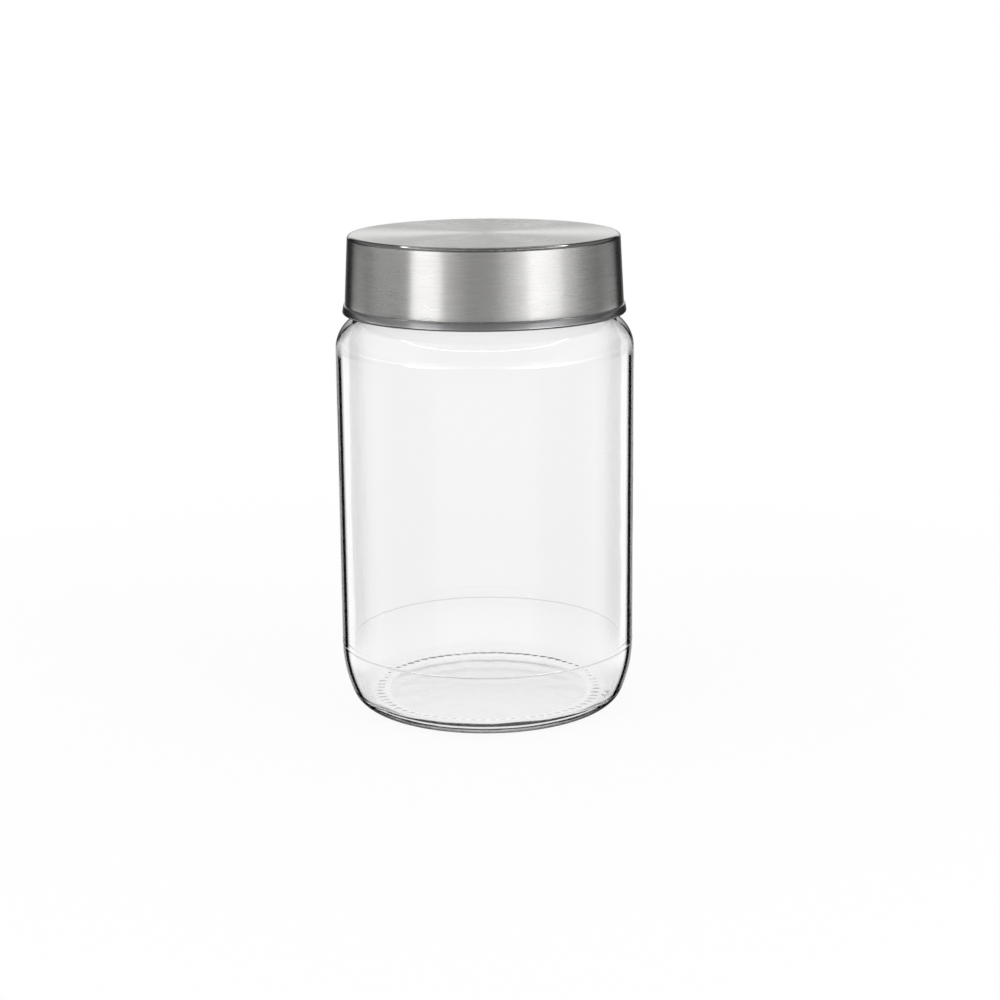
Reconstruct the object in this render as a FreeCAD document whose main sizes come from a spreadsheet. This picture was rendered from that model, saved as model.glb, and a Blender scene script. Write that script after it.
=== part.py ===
# Glass storage jar with a twist-on lid: a plastic cap under a drawn steel cover, with a sealing liner.
# Millimetres and degrees, +Z up. The origin is the middle of the bearing ring on which the jar stands.
import FreeCAD, Part
import math
import os

import Sketcher

# Driving sizes. A name that ends in share is a part of the size that it follows.
SIZES = {
    # glass body
    "jar_diameter": 88.0,
    "wall_thickness": 3.0,
    "body_height": 107.9,
    "heel_height": 18.7,
    "heel_inset": 9.4,
    "heel_round_share": 0.75,
    "bearing_width": 4.6,
    "push_up_height": 0.6,
    "base_thickness": 3.8,
    "floor_inset": 4.8,
    "floor_corner_height": 14.3,
    "floor_round_share": 0.6,
    # glass shoulder and neck
    "shoulder_radius": 10.6,
    "shoulder_inset": 7.8,
    "neck_fillet": 1.2,
    "inner_shoulder_radius": 9.6,
    "inner_fillet": 3.0,
    "neck_height": 19.4,
    "neck_bead_rise": 1.0,
    "neck_bead_width": 3.2,
    "neck_bead_gap": 1.0,
    "rim_outer_share": 0.42,
    "rim_inner_share": 0.28,
    # lugs on the neck, and those inside the cap that hook under them
    "lug_count": 4,
    "lug_lead": 20.0,
    "lug_height": 1.3,
    "lug_root_width": 2.6,
    "lug_crest_width": 1.4,
    "lug_end_share": 0.5,
    "lug_bury": 0.5,
    "lug_drop": 3.6,
    "glass_lug_sweep": 84.0,
    "cap_lug_sweep": 30.0,
    "cap_lug_start": 9.0,
    "lug_radial_clearance": 0.4,
    "lug_seat_clearance": 0.15,
    # plastic cap
    "panel_thickness": 1.6,
    "skirt_wall": 1.55,
    "skirt_lead_in": 0.6,
    "shoulder_gap": 1.4,
    "liner_bead_rise": 0.9,
    "liner_bead_width": 2.0,
    "liner_bead_gap": 0.1,
    "flange_height": 2.6,
    "flange_ledge": 0.35,
    "flange_flare": 0.5,
    "flange_top_round": 0.3,
    "flange_foot_round": 0.5,
    # drawn steel cover
    "sheet_thickness": 0.4,
    "cover_flare": 1.1,
    "cover_edge_round": 1.3,
    "cover_clearance": 0.05,
    # sealing liner
    "liner_thickness": 1.2,
    "liner_clearance": 0.4,
    "liner_edge_round": 0.25,
}
SHEET = "Sizes"

LUG_SECTIONS = 8
LUG_FULLNESS = 6
LEFT = 1
RIGHT = -1
FULL_TURN = 360
MATCH = 1e-4


class Formula:
    """A size worked out from the sheet: its number as the sheet stands, and its text for an expression."""

    def __init__(self, number, text):
        self.number = number
        self.text = text

    def __add__(self, other):
        other = as_formula(other)
        return Formula(self.number + other.number, f"({self.text} + {other.text})")

    def __sub__(self, other):
        other = as_formula(other)
        return Formula(self.number - other.number, f"({self.text} - {other.text})")

    def __mul__(self, other):
        other = as_formula(other)
        return Formula(self.number * other.number, f"({self.text} * {other.text})")

    def __truediv__(self, other):
        other = as_formula(other)
        return Formula(self.number / other.number, f"({self.text} / {other.text})")

    def __rsub__(self, other):
        return as_formula(other) - self


def as_formula(term):
    """A plain number as a formula, and a formula as it is."""
    return term if isinstance(term, Formula) else Formula(term, repr(term))


def size(alias):
    """One cell of the sheet."""
    return Formula(SIZES[alias], f"{SHEET}.{alias}")


def root(term):
    """The square root of a formula."""
    return Formula(math.sqrt(term.number), f"sqrt({term.text})")


ZERO = as_formula(0)


def touching_level(level, reach, aside):
    """Level of a round's centre that lies at a reach from another centre and aside of it."""
    return level + root(reach * reach - aside * aside)


class Glass:
    """Radii and levels of the jar that other pieces follow."""

    wall = size("wall_thickness")
    radius = size("jar_diameter") / 2
    shoulder_level = size("body_height")
    shoulder_radius = size("shoulder_radius")
    shoulder_axis = radius - shoulder_radius
    neck_radius = radius - size("shoulder_inset")
    bore_radius = neck_radius - wall
    fillet_axis = neck_radius + size("neck_fillet")
    fillet_reach = shoulder_radius + size("neck_fillet")
    neck_level = touching_level(shoulder_level, fillet_reach, fillet_axis - shoulder_axis)
    rim_level = neck_level + size("neck_height")


class Lid:
    """Radii and levels of the lid, whose pieces are drawn with the rim's sealing plane as level zero."""

    skirt_radius = Glass.neck_radius + size("lug_height") + size("lug_radial_clearance")
    mouth_radius = skirt_radius + size("skirt_lead_in")
    over_shoulder = mouth_radius - Glass.shoulder_axis
    foot_level = (
        Glass.shoulder_level
        + root(Glass.shoulder_radius * Glass.shoulder_radius - over_shoulder * over_shoulder)
        + size("shoulder_gap")
        - Glass.rim_level
    )
    ledge_level = foot_level + size("flange_height")
    panel_under = size("liner_thickness")
    panel_level = panel_under + size("panel_thickness")
    top_level = panel_level + size("sheet_thickness")
    flare_slope = size("cover_flare") / (top_level - ledge_level)
    skirt_top_radius = skirt_radius + size("skirt_wall")
    skirt_ledge_radius = skirt_top_radius + size("cover_flare")
    cover_gauge = size("cover_clearance") + size("sheet_thickness")
    cover_top_radius = skirt_top_radius + cover_gauge
    cover_ledge_radius = skirt_ledge_radius + cover_gauge


def corner(across, level):
    """A straight step of an outline, to a point."""
    return across, level, None, None


def arc(across, level, radius, turn):
    """A round step of an outline, to a point, that turns left or right."""
    return across, level, radius, turn


def arc_curve(start, end, radius, turn):
    """The circle arc, under a half turn, from one point to another."""
    chord = end - start
    half = chord.Length / 2
    left = FreeCAD.Vector(-chord.y, chord.x, 0) / chord.Length
    centre = (start + end) / 2 + left * (turn * math.sqrt(max(radius * radius - half * half, 0)))
    circle = Part.Circle(centre, FreeCAD.Vector(0, 0, 1), radius)
    first, last = (start, end) if turn == LEFT else (end, start)
    return Part.ArcOfCircle(circle, circle.parameter(first), circle.parameter(last))


def pin(sketch, geometry, place, kind, axis, length):
    """Holds one coordinate of a point at a formula, or on the axis where it is zero."""
    if length is ZERO:
        sketch.addConstraint(Sketcher.Constraint("PointOnObject", geometry, place, axis))
        return
    index = sketch.addConstraint(Sketcher.Constraint(kind, -1, 1, geometry, place, length.number))
    sketch.setExpression(f"Constraints[{index}]", length.text)


def draw(sketch, steps):
    """Draws a closed outline through the steps, with every point and radius held by a formula."""
    points = [FreeCAD.Vector(across.number, level.number, 0) for across, level, _, _ in steps]
    ends = []
    for index, (_, _, radius, turn) in enumerate(steps):
        start, end = points[index - 1], points[index]
        if radius is None:
            ends.append((sketch.addGeometry(Part.LineSegment(start, end)), 1, 2))
            continue
        geometry = sketch.addGeometry(arc_curve(start, end, radius.number, turn))
        ends.append((geometry, 1, 2) if turn == LEFT else (geometry, 2, 1))
    for index, (geometry, _, last) in enumerate(ends):
        following, first, _ = ends[(index + 1) % len(ends)]
        sketch.addConstraint(Sketcher.Constraint("Coincident", geometry, last, following, first))
    for (geometry, _, last), (across, level, radius, _) in zip(ends, steps):
        pin(sketch, geometry, last, "DistanceX", -2, across)
        pin(sketch, geometry, last, "DistanceY", -1, level)
        if radius is not None:
            index = sketch.addConstraint(Sketcher.Constraint("Radius", geometry, radius.number))
            sketch.setExpression(f"Constraints[{index}]", radius.text)


def origin_part(body, role):
    """One of the body's own origin planes or axes."""
    return next(part for part in body.Origin.OriginFeatures if part.Role == role)


def upright_sketch(body, name, steps, turned=ZERO):
    """A sketch in a plane that holds the Z axis, turned about it from the X axis."""
    sketch = body.newObject("Sketcher::SketchObject", name)
    sketch.AttachmentSupport = (origin_part(body, "XZ_Plane"), [""])
    sketch.MapMode = "FlatFace"
    if turned is not ZERO:
        upward = FreeCAD.Rotation(FreeCAD.Vector(0, 1, 0), turned.number)
        sketch.AttachmentOffset = FreeCAD.Placement(FreeCAD.Vector(), upward)
        sketch.setExpression("AttachmentOffset.Rotation.Angle", turned.text)
    draw(sketch, steps)
    return sketch


def revolved(document, label, steps, level):
    """A body turned about Z from its half outline, set at its level."""
    body = document.addObject("PartDesign::Body", label)
    body.Label = label
    if level is not ZERO:
        body.setExpression("Placement.Base.z", level.text)
    profile = upright_sketch(body, f"{label}_profile", steps)
    turning = body.newObject("PartDesign::Revolution", f"{label}_turning")
    turning.Profile = profile
    turning.ReferenceAxis = (profile, ["V_Axis"])
    turning.Angle = FULL_TURN
    document.recompute()
    return body


def rim_edge(shape, radius, level):
    """The name of the round edge about Z at a radius and a level of the body."""
    for index, edge in enumerate(shape.Edges, start=1):
        if not isinstance(edge.Curve, Part.Circle):
            continue
        off_radius = abs(edge.Curve.Radius - radius.number)
        off_level = abs(edge.Curve.Center.z - level.number)
        if max(off_radius, off_level) < MATCH:
            return f"Edge{index}"
    raise ValueError(f"no edge of radius {radius.number} at level {level.number}")


def rounded(document, body, name, radius, *edges):
    """Rounds the edges of the body that are given as pairs of radius and level."""
    base = body.Tip
    fillet = body.newObject("PartDesign::Fillet", name)
    fillet.Base = (base, [rim_edge(base.Shape, *edge) for edge in edges])
    fillet.Radius = radius.number
    fillet.setExpression("Radius", radius.text)
    document.recompute()


def lug_level(angle):
    """Level of a glass lug's middle below the rim at an angle from its lower end, climbing at the lead."""
    return (angle - size("glass_lug_sweep")) * size("lug_lead") / FULL_TURN - size("lug_drop")


def lug_section(wall, outward, level, fullness):
    """One section of a lug: a trapezoid rooted in the wall, which sinks into it as fullness goes to zero."""
    bury = size("lug_bury")
    taper = size("lug_end_share") + (1 - size("lug_end_share")) * fullness
    half_crest = size("lug_crest_width") * taper / 2
    slope = (size("lug_root_width") - size("lug_crest_width")) / size("lug_height") / 2
    half_root = (size("lug_root_width") / 2 + slope * bury) * taper
    standing = size("lug_height") * fullness - bury / 2 * (1 - fullness)
    buried = wall - bury * outward
    crest = wall + standing * outward
    return [
        corner(buried, level - half_root),
        corner(crest, level - half_crest),
        corner(crest, level + half_crest),
        corner(buried, level + half_root),
    ]


def add_lugs(document, body, wall, outward, start, sweep, offset):
    """A ring of slanted lugs: one lofted through sections along the lead, and its copies about the axis."""
    sections = []
    for index in range(LUG_SECTIONS):
        along = index / (LUG_SECTIONS - 1)
        fullness = 1 - (2 * along - 1) ** LUG_FULLNESS
        angle = start + sweep * along
        steps = lug_section(wall, outward, lug_level(angle) + offset, fullness)
        sections.append(upright_sketch(body, f"{body.Label}_lug_section_{index}", steps, angle))
    lug = body.newObject("PartDesign::AdditiveLoft", f"{body.Label}_lug")
    lug.Profile = sections[0]
    lug.Sections = sections[1:]
    document.recompute()
    ring = body.newObject("PartDesign::PolarPattern", f"{body.Label}_lugs")
    ring.Originals = [lug]
    ring.Axis = (origin_part(body, "Z_Axis"), [""])
    ring.Angle = FULL_TURN
    ring.Occurrences = SIZES["lug_count"]
    ring.setExpression("Occurrences", size("lug_count").text)
    body.Tip = ring
    document.recompute()


def between(start, end, share):
    """The point at a share of the way between two points."""
    return tuple(first + (last - first) * share for first, last in zip(start, end))


def corner_arcs(foot_radius, foot_level, inset, height, share):
    """Two smooth arcs from a level floor to an upright wall: lower radius, upper radius, meeting point."""
    lower = inset * share
    rise = height - lower
    upper = (inset * inset + rise * rise - lower * lower) / (inset - lower) / 2
    lower_centre = (foot_radius, foot_level + lower)
    upper_centre = (foot_radius + inset - upper, foot_level + height)
    meeting = between(upper_centre, lower_centre, upper / (upper - lower))
    return lower, upper, meeting


def bead_radius(rise, width):
    """Radius of a round bead that stands off its wall by its rise."""
    return (rise * rise + width * width / 4) / rise / 2


def glass_jar(document):
    """The jar: straight wall, rounded shoulder, two-radius heel, domed base, neck with a sealing land."""
    wall, radius = Glass.wall, Glass.radius
    bearing_radius = radius - size("heel_inset")
    dome_radius = bearing_radius - size("bearing_width")
    push_up = size("push_up_height")
    dome_round = (dome_radius * dome_radius + push_up * push_up) / push_up / 2
    heel = corner_arcs(
        bearing_radius, ZERO, size("heel_inset"), size("heel_height"), size("heel_round_share")
    )
    floor_level = push_up + size("base_thickness")
    floor_radius = radius - wall - size("floor_inset")
    floor_height = size("floor_corner_height")
    floor = corner_arcs(
        floor_radius, floor_level, size("floor_inset"), floor_height, size("floor_round_share")
    )
    shoulder_centre = (Glass.shoulder_axis, Glass.shoulder_level)
    fillet_centre = (Glass.fillet_axis, Glass.neck_level)
    outer_meeting = between(shoulder_centre, fillet_centre, Glass.shoulder_radius / Glass.fillet_reach)
    inner_shoulder, inner_fillet = size("inner_shoulder_radius"), size("inner_fillet")
    inner_axis, inner_fillet_axis = radius - wall - inner_shoulder, Glass.bore_radius + inner_fillet
    inner_reach = inner_shoulder + inner_fillet
    inner_level = touching_level(Glass.shoulder_level, inner_reach, inner_fillet_axis - inner_axis)
    inner_meeting = between(
        (inner_axis, Glass.shoulder_level), (inner_fillet_axis, inner_level), inner_shoulder / inner_reach
    )
    bead_foot = Glass.neck_level + size("neck_bead_gap")
    bead_head = bead_foot + size("neck_bead_width")
    bead = bead_radius(size("neck_bead_rise"), size("neck_bead_width"))
    rim_outer, rim_inner = wall * size("rim_outer_share"), wall * size("rim_inner_share")

    body = revolved(document, "glass_jar", [
        corner(ZERO, push_up),
        arc(dome_radius, ZERO, dome_round, RIGHT),
        corner(bearing_radius, ZERO),
        arc(*heel[2], heel[0], LEFT),
        arc(radius, size("heel_height"), heel[1], LEFT),
        corner(radius, Glass.shoulder_level),
        arc(*outer_meeting, Glass.shoulder_radius, LEFT),
        arc(Glass.neck_radius, Glass.neck_level, size("neck_fillet"), RIGHT),
        corner(Glass.neck_radius, bead_foot),
        arc(Glass.neck_radius, bead_head, bead, LEFT),
        corner(Glass.neck_radius, Glass.rim_level - rim_outer),
        arc(Glass.neck_radius - rim_outer, Glass.rim_level, rim_outer, LEFT),
        corner(Glass.bore_radius + rim_inner, Glass.rim_level),
        arc(Glass.bore_radius, Glass.rim_level - rim_inner, rim_inner, LEFT),
        corner(Glass.bore_radius, inner_level),
        arc(*inner_meeting, inner_fillet, LEFT),
        arc(radius - wall, Glass.shoulder_level, inner_shoulder, RIGHT),
        corner(radius - wall, floor_level + floor_height),
        arc(*floor[2], floor[1], RIGHT),
        arc(floor_radius, floor_level, floor[0], RIGHT),
        corner(ZERO, floor_level),
    ], ZERO)
    add_lugs(document, body, Glass.neck_radius, 1, ZERO, size("glass_lug_sweep"), Glass.rim_level)
    return body


def screw_cap(document):
    """The plastic cap: panel, skirt with lugs, a bead that keeps the liner in, a flange below the steel."""
    bead_head = ZERO - size("liner_bead_gap")
    bead_foot = bead_head - size("liner_bead_width")
    bead = bead_radius(size("liner_bead_rise"), size("liner_bead_width"))
    skirt_panel_radius = Lid.skirt_top_radius + size("sheet_thickness") * Lid.flare_slope
    flange_top_radius = Lid.cover_ledge_radius + size("flange_ledge")
    flange_foot_radius = flange_top_radius + size("flange_flare")

    body = revolved(document, "screw_cap", [
        corner(ZERO, Lid.panel_under),
        corner(Lid.skirt_radius, Lid.panel_under),
        corner(Lid.skirt_radius, bead_head),
        arc(Lid.skirt_radius, bead_foot, bead, LEFT),
        corner(Lid.skirt_radius, Lid.foot_level + size("skirt_lead_in")),
        corner(Lid.mouth_radius, Lid.foot_level),
        corner(flange_foot_radius, Lid.foot_level),
        corner(flange_top_radius, Lid.ledge_level),
        corner(Lid.skirt_ledge_radius, Lid.ledge_level),
        corner(skirt_panel_radius, Lid.panel_level),
        corner(ZERO, Lid.panel_level),
    ], Glass.rim_level)
    rounded(document, body, "flange_foot", size("flange_foot_round"), (flange_foot_radius, Lid.foot_level))
    rounded(document, body, "flange_ledge", size("flange_top_round"), (flange_top_radius, Lid.ledge_level))
    rounded(document, body, "panel_edge", size("cover_edge_round"), (skirt_panel_radius, Lid.panel_level))
    flank_reach = (size("lug_root_width") - size("lug_crest_width")) * size("lug_radial_clearance")
    flank_gap = (size("lug_root_width") + size("lug_crest_width") - flank_reach / size("lug_height")) / 2
    below_glass_lug = ZERO - flank_gap - size("lug_seat_clearance")
    add_lugs(
        document, body, Lid.skirt_radius, -1, size("cap_lug_start"), size("cap_lug_sweep"), below_glass_lug
    )
    return body


def steel_cover(document):
    """The steel cover: a shallow cup drawn from sheet, rounded at its top edge and open below."""
    body = revolved(document, "steel_cover", [
        corner(ZERO, Lid.ledge_level),
        corner(Lid.cover_ledge_radius, Lid.ledge_level),
        corner(Lid.cover_top_radius, Lid.top_level),
        corner(ZERO, Lid.top_level),
    ], Glass.rim_level)
    rounded(document, body, "cover_edge", size("cover_edge_round"), (Lid.cover_top_radius, Lid.top_level))
    blank = body.Tip
    heights = [face.CenterOfMass.z for face in blank.Shape.Faces]
    open_face = heights.index(min(heights)) + 1
    shell = body.newObject("PartDesign::Thickness", "cover_sheet")
    shell.Base = (blank, [f"Face{open_face}"])
    shell.Reversed = True
    shell.setExpression("Value", size("sheet_thickness").text)
    document.recompute()
    return body


def cap_liner(document):
    """The liner: a soft disc that lies between the rim of the glass and the cap's panel."""
    radius = Lid.skirt_radius - size("liner_clearance")
    body = revolved(document, "cap_liner", [
        corner(ZERO, ZERO),
        corner(radius, ZERO),
        corner(radius, size("liner_thickness")),
        corner(ZERO, size("liner_thickness")),
    ], Glass.rim_level)
    edges = (radius, ZERO), (radius, size("liner_thickness"))
    rounded(document, body, "liner_edges", size("liner_edge_round"), *edges)
    return body


def filled_sheet(document):
    """The spreadsheet of driving sizes, one row for each."""
    sheet = document.addObject("Spreadsheet::Sheet", SHEET)
    for row, (alias, number) in enumerate(SIZES.items(), start=1):
        sheet.set(f"A{row}", alias)
        sheet.set(f"B{row}", str(number))
        sheet.setAlias(f"B{row}", alias)
    document.recompute()


def check(document, bodies):
    """Stops if any object failed to build or any piece isn't one sound solid."""
    failed = [item.Name for item in document.Objects if {"Invalid", "Error"} & set(item.State)]
    if failed:
        raise RuntimeError(f"failed objects: {failed}")
    for body in bodies:
        shape = body.Shape
        if shape.isNull() or not shape.isValid() or len(shape.Solids) != 1:
            raise RuntimeError(f"{body.Label} isn't one valid solid")


def main():
    """Builds the document, checks it and writes one file for each piece."""
    document = FreeCAD.newDocument("storage_jar")
    filled_sheet(document)
    bodies = [make(document) for make in (glass_jar, screw_cap, steel_cover, cap_liner)]
    document.recompute()
    check(document, bodies)
    os.makedirs("parts", exist_ok=True)
    for body in bodies:
        body.Shape.exportStep(f"parts/{body.Label}.step")


if __name__ == "__main__":
    main()
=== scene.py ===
import math

import bpy
import numpy as np
from bpy.props import FloatProperty, FloatVectorProperty, IntProperty, PointerProperty
from mathutils import Euler, Matrix, Vector


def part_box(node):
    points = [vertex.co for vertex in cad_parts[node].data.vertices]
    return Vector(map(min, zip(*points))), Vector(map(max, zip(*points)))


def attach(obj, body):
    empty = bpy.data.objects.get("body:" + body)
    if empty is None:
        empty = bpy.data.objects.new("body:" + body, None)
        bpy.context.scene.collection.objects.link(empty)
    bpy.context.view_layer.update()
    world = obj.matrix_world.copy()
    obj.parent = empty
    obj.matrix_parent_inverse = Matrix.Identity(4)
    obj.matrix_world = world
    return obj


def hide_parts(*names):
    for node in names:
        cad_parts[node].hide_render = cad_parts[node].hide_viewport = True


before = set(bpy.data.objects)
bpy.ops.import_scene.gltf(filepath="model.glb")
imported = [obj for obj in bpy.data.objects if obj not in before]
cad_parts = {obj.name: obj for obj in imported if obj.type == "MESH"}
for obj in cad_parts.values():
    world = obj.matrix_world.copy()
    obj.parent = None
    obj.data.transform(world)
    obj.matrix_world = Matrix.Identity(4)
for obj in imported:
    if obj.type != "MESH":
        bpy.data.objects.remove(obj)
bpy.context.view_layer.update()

bl_info = {
    "name": "Glass storage jar",
    "version": (1, 0, 0),
    "blender": (4, 5, 0),
    "location": "3D View > Sidebar > Storage jar",
    "description": "Dresses the solids of a clear glass jar with a brushed steel twist lid",
    "category": "Add Mesh",
}

GLASS_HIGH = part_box("glass_jar")[1]
CAP_LOW, CAP_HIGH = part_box("screw_cap")
COVER_LOW, COVER_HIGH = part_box("steel_cover")
LINER_LOW, LINER_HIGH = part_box("cap_liner")

FULL_TURN = 2 * math.pi
QUARTER = math.pi / 2
WHITE = (1.0, 1.0, 1.0, 1.0)
SHARP_ANGLE = math.radians(32)
SEGMENTS = 360
LINER_SEGMENTS = 240
FLOOR_SEGMENTS = 96
FLOOR_RINGS = 24
# Points nearer than this to a wall's radius lie on the wall.
ON_WALL = 1e-7

# Rows lie close within this many root widths of a lug's middle, and its ends sink with this power.
LUG_BAND = 0.7
LUG_END_POWER = 6
# From the bearing ring's outer edge to the middle of its knurls and from there to their ends, in ring widths.
KNURL_MIDDLE = 0.30
KNURL_REACH = 0.42
# Rows lower than this part of the dome's height belong to the bearing ring.
RING_PART = 9
# The middle of the mould seam above the heel, in half widths of the seam.
SEAM_MIDDLE = 3
# Waves round the inside of the heel: how many, and where they start.
HEEL_WAVES = ((5, 0.4), (11, 2.1), (17, 4.0))
# Radius of the steel's lip in sheet thicknesses.
LIP_ROUND = 0.3

# The studio as metal and gloss show it. Each light has levels round the jar, by degrees to the right of the
# camera's side, and levels upward, by the sine of the angle above the horizon. The room has a white backdrop
# behind the jar and is dark beside it. A bright line lies on its horizon, the ceiling glows at the sides, and
# the table is pale. A low panel stands on either side of the camera, and a narrow strip runs round above.
ROOM_SIDES = (
    (-158, 0.03), (-150, 0.03), (-130, 0.08), (-112, 0.2), (-100, 0.45), (-66, 0.7), (-12, 0.5), (8, 0.55),
    (70, 0.65), (85, 0.45), (105, 0.15), (135, 0.05), (158, 0.03),
)
ROOM = ((-180, 1.3), (-162, 1.3), *ROOM_SIDES, (162, 1.3), (180, 1.3))
ROOM_RISE = (
    (-1.0, 0.08), (-0.2, 0.08), (-0.08, 0.1), (0.0, 0.1), (0.067, 0.3), (0.1, 0.85), (0.2, 0.85),
    (0.44, 0.26), (1.0, 0.26),
)
HORIZON = ((-180, 0.1), (-162, 0.1), *ROOM_SIDES, (162, 0.1), (180, 0.1))
HORIZON_RISE = ((-1.0, 0.0), (0.0, 0.0), (0.012, 3.8), (0.055, 3.8), (0.067, 0.0), (1.0, 0.0))
CEILING = (
    (-180, 0.0), (-155, 0.0), (-135, 0.45), (-65, 0.45), (-40, 0.0), (40, 0.0), (65, 0.45), (135, 0.45),
    (155, 0.0), (180, 0.0),
)
CEILING_RISE = ((-1.0, 0.0), (0.2, 0.0), (0.32, 1.0), (1.0, 1.0))
TABLE = (
    (-180, 0.7), (-168, 0.7), (-163, 0.0), (-144, 0.0), (-139, 1.05), (-125, 1.05), (-110, 0.55),
    (-95, 0.55), (-72, 0.0), (-46, 0.0), (-34, 0.55), (34, 0.55), (46, 0.0), (72, 0.0), (95, 0.55),
    (110, 0.55), (125, 1.05), (139, 1.05), (144, 0.0), (163, 0.0), (168, 0.7), (180, 0.7),
)
TABLE_RISE = ((-1.0, 0.0), (-0.40, 0.0), (-0.33, 1.0), (-0.17, 1.0), (-0.12, 0.0), (1.0, 0.0))
PANELS = (
    (-180, 0.0), (-64, 0.0), (-59, 0.82), (-38, 0.82), (-32, 0.2), (-12, 0.0), (8, 0.0), (34, 0.5),
    (39, 0.95), (50, 0.8), (64, 0.55), (69, 0.25), (90, 0.0), (180, 0.0),
)
PANEL_RISE = (
    (-1.0, 0.0), (-0.075, 0.0), (-0.065, 1.0), (-0.005, 1.0), (0.01, 0.13), (0.19, 0.13), (0.24, 0.0),
    (1.0, 0.0),
)
STRIP = ((-180, 1.0), (180, 1.0))
STRIP_RISE = ((-1.0, 0.0), (0.788, 0.0), (0.793, 1.0), (0.807, 1.0), (0.812, 0.0), (1.0, 0.0))

# Softboxes that light the floor: name, place and width. Their height and the point that they face.
SOFTBOXES = (
    ("softbox_left", (-0.725, -0.688, 0.5), 0.44),
    ("softbox_right", (0.799, -0.602, 0.5), 0.50),
)
SOFTBOX_HEIGHT = 0.8
SOFTBOX_AIM = (0.0, 0.0, 0.1)
SENSOR_WIDTH = 36.0
# Light passes many walls of glass before it leaves the base.
GLASS_BOUNCES = 24
GLOSSY_BOUNCES = 16


def length(name, description, default):
    """A length in metres, shown in the scene's unit."""
    return FloatProperty(
        name=name, description=description, default=default, min=0.0, precision=5, unit="LENGTH"
    )


def angle(name, description, degrees):
    """An angle, given in degrees and kept in radians."""
    return FloatProperty(
        name=name, description=description, default=math.radians(degrees), unit="ROTATION"
    )


def share(name, description, default):
    """A part of one."""
    return FloatProperty(
        name=name, description=description, default=default, min=0.0, max=1.0, subtype="FACTOR"
    )


def level(name, description, default):
    """A plain strength, where one is white."""
    return FloatProperty(name=name, description=description, default=default, min=0.0)


def colour(name, description, default):
    """A linear colour."""
    return FloatVectorProperty(
        name=name, description=description, default=default, min=0.0, max=1.0, size=3, subtype="COLOR"
    )


def count(name, description, default):
    """A whole number."""
    return IntProperty(name=name, description=description, default=default, min=1)


class GlassSettings(bpy.types.PropertyGroup):
    """Sizes of the glass jar, and the levels of painted shade in its colour."""

    radius: length("Radius", "Radius of the straight wall", GLASS_HIGH.x)
    rim_level: length("Rim level", "Height of the sealing land above the shelf", GLASS_HIGH.z)
    wall: length("Wall", "Thickness of the glass", 0.0030)
    heel_height: length("Heel height", "Height at which the wall becomes straight", 0.0187)
    heel_inset: length("Heel inset", "How far the bearing ring lies inside the wall", 0.0094)
    heel_round: share("Heel round", "Lower radius of the heel as a share of its inset", 0.75)
    bearing_width: length("Bearing width", "Width of the ring on which the jar stands", 0.0046)
    push_up_height: length("Push-up height", "Height of the dome in the base", 0.0006)
    base_thickness: length("Base thickness", "Glass between the dome and the floor inside", 0.0038)
    floor_inset: length("Floor inset", "Width of the rounded corner inside", 0.0048)
    floor_corner: length("Floor corner", "Height of the rounded corner inside", 0.0143)
    floor_round: share("Floor round", "Lower radius of the inner corner as a share of its inset", 0.6)
    body_height: length("Body height", "Height at which the shoulder starts", 0.1079)
    shoulder_radius: length("Shoulder radius", "Outer radius of the shoulder's bend", 0.0106)
    shoulder_inset: length("Shoulder inset", "How far the neck lies inside the wall", 0.0078)
    neck_fillet: length("Neck fillet", "Radius between shoulder and neck", 0.0012)
    inner_shoulder: length("Inner shoulder", "Inner radius of the shoulder's bend", 0.0096)
    inner_fillet: length("Inner fillet", "Inner radius between shoulder and neck", 0.003)
    bead_rise: length("Bead rise", "How far the neck bead stands off the neck", 0.001)
    bead_width: length("Bead width", "Height of the neck bead", 0.0032)
    bead_gap: length("Bead gap", "Neck between its fillet and its bead", 0.001)
    rim_outer: share("Outer rim round", "Outer radius of the rim as a share of the wall", 0.42)
    rim_inner: share("Inner rim round", "Inner radius of the rim as a share of the wall", 0.28)
    knurl_count: count("Knurls", "Short ridges round the bearing ring", 72)
    knurl_depth: length("Knurl depth", "Depth between two ridges", 0.00022)
    wave: length("Waves", "Unevenness of the glass inside the heel", 0.00008)
    stipple: share("Stipple", "Roughness of the dome under the base", 0.2)
    seam_rise: length("Seam rise", "How far the mould seam at the heel stands off the wall", 0.00005)
    seam_width: length("Seam width", "Half width of the mould seam at the heel", 0.00022)
    # These levels are painted shade in the glass's colour: the dark line and rim along its edges, its inner
    # side seen at a low angle, the edge of the shoulder and the mould seam.
    edge_line_shade: level("Edge line", "What passes through the dark line along the edges of the glass", 0.0004)
    edge_rim_shade: level("Edge tint", "What passes through the outermost edge of the glass", 0.3)
    straight_on_shade: level("Clear tint", "What passes into the inside of the wall straight on", 0.94)
    low_angle_shade: level("Inner tint", "What passes into the inside of the wall at a low angle", 0.5)
    shoulder_edge_shade: level("Shoulder tint", "What passes through the edge of the shoulder", 0.7)
    seam_shade: level("Seam tint", "What passes through the mould seam at the heel", 0.45)


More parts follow.
